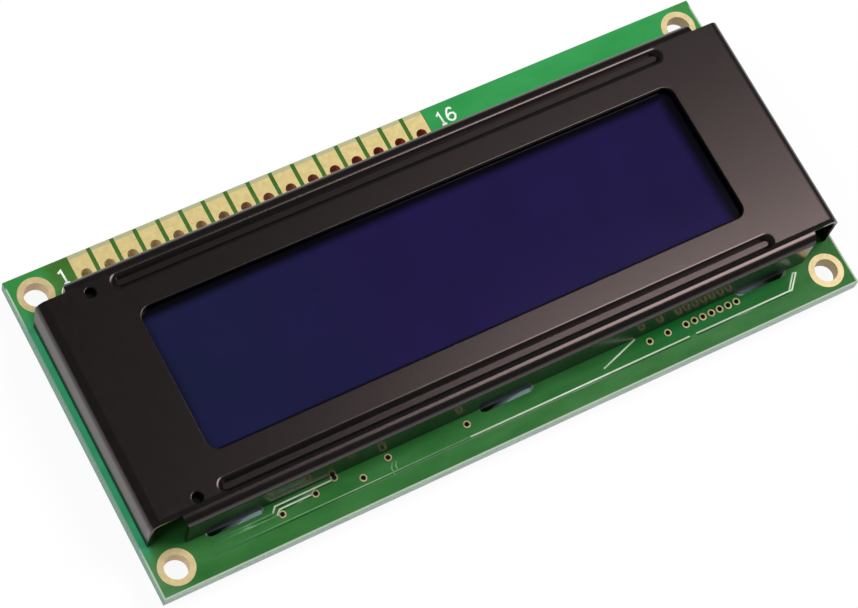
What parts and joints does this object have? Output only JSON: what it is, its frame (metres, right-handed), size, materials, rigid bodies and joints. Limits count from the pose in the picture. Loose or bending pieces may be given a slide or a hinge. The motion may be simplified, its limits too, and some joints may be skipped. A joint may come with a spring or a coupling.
{
  "type": "character lcd module",
  "caption": "Character LCD module: green circuit board with corner mounting holes and edge pads, black pressed steel bezel around a dark display window.",
  "frame": {"origin": "centre of the four mounting holes, on the front face of the circuit board", "axes": "+X along the board from pad 1 to pad 16, +Y towards the edge with the pads, +Z out of the display's face"},
  "size_m": [0.08, 0.036, 0.0085],
  "materials": {
    "board": "green solder mask over glass epoxy",
    "gold_plating": "thin gold over copper, satin",
    "bezel_paint": "satin black paint on steel sheet",
    "display_film": "dark indigo polariser, glossy",
    "display_glass": "clear float glass with ground edges",
    "liquid_crystal": "dark cell and epoxy seal",
    "white_plastic": "white moulded tray",
    "white_film": "matt white film",
    "clear_guide": "clear acrylic",
    "lamp_body": "white lamp body with phosphor",
    "bare_laminate": "plain glass epoxy",
    "strip_rubber": "layered silicone rubber",
    "tin": "bright tin and solder",
    "epoxy": "black epoxy, semi-gloss",
    "silicon": "bare silicon",
    "resistor_body": "black glazed resistor",
    "capacitor_body": "tan ceramic"
  },
  "bodies": {
    "root": {"pcb_board": "board", "mounting_hole_rings": "gold_plating", "header_pads": "gold_plating", "plated_vias": "gold_plating", "contact_fingers_upper": "gold_plating", "contact_fingers_lower": "gold_plating", "connector_strip_upper": "strip_rubber", "connector_strip_lower": "strip_rubber", "backlight_frame": "white_plastic", "reflector_film": "white_film", "light_guide": "clear_guide", "diffuser_film": "white_film", "backlight_lamp_board": "bare_laminate", "backlight_lamps": "lamp_body", "backlight_pins": "tin", "backlight_solder": "tin", "rear_polariser": "display_film", "rear_glass": "display_glass", "liquid_crystal_seal": "liquid_crystal", "front_glass": "display_glass", "front_polariser": "display_film", "bezel": "bezel_paint", "controller_die": "silicon", "driver_die": "silicon", "controller_cap": "epoxy", "driver_cap": "epoxy", "chip_resistors": "resistor_body", "chip_capacitors": "capacitor_body", "chip_end_caps": "tin", "solder_joints": "tin"}
  },
  "joints": []
}
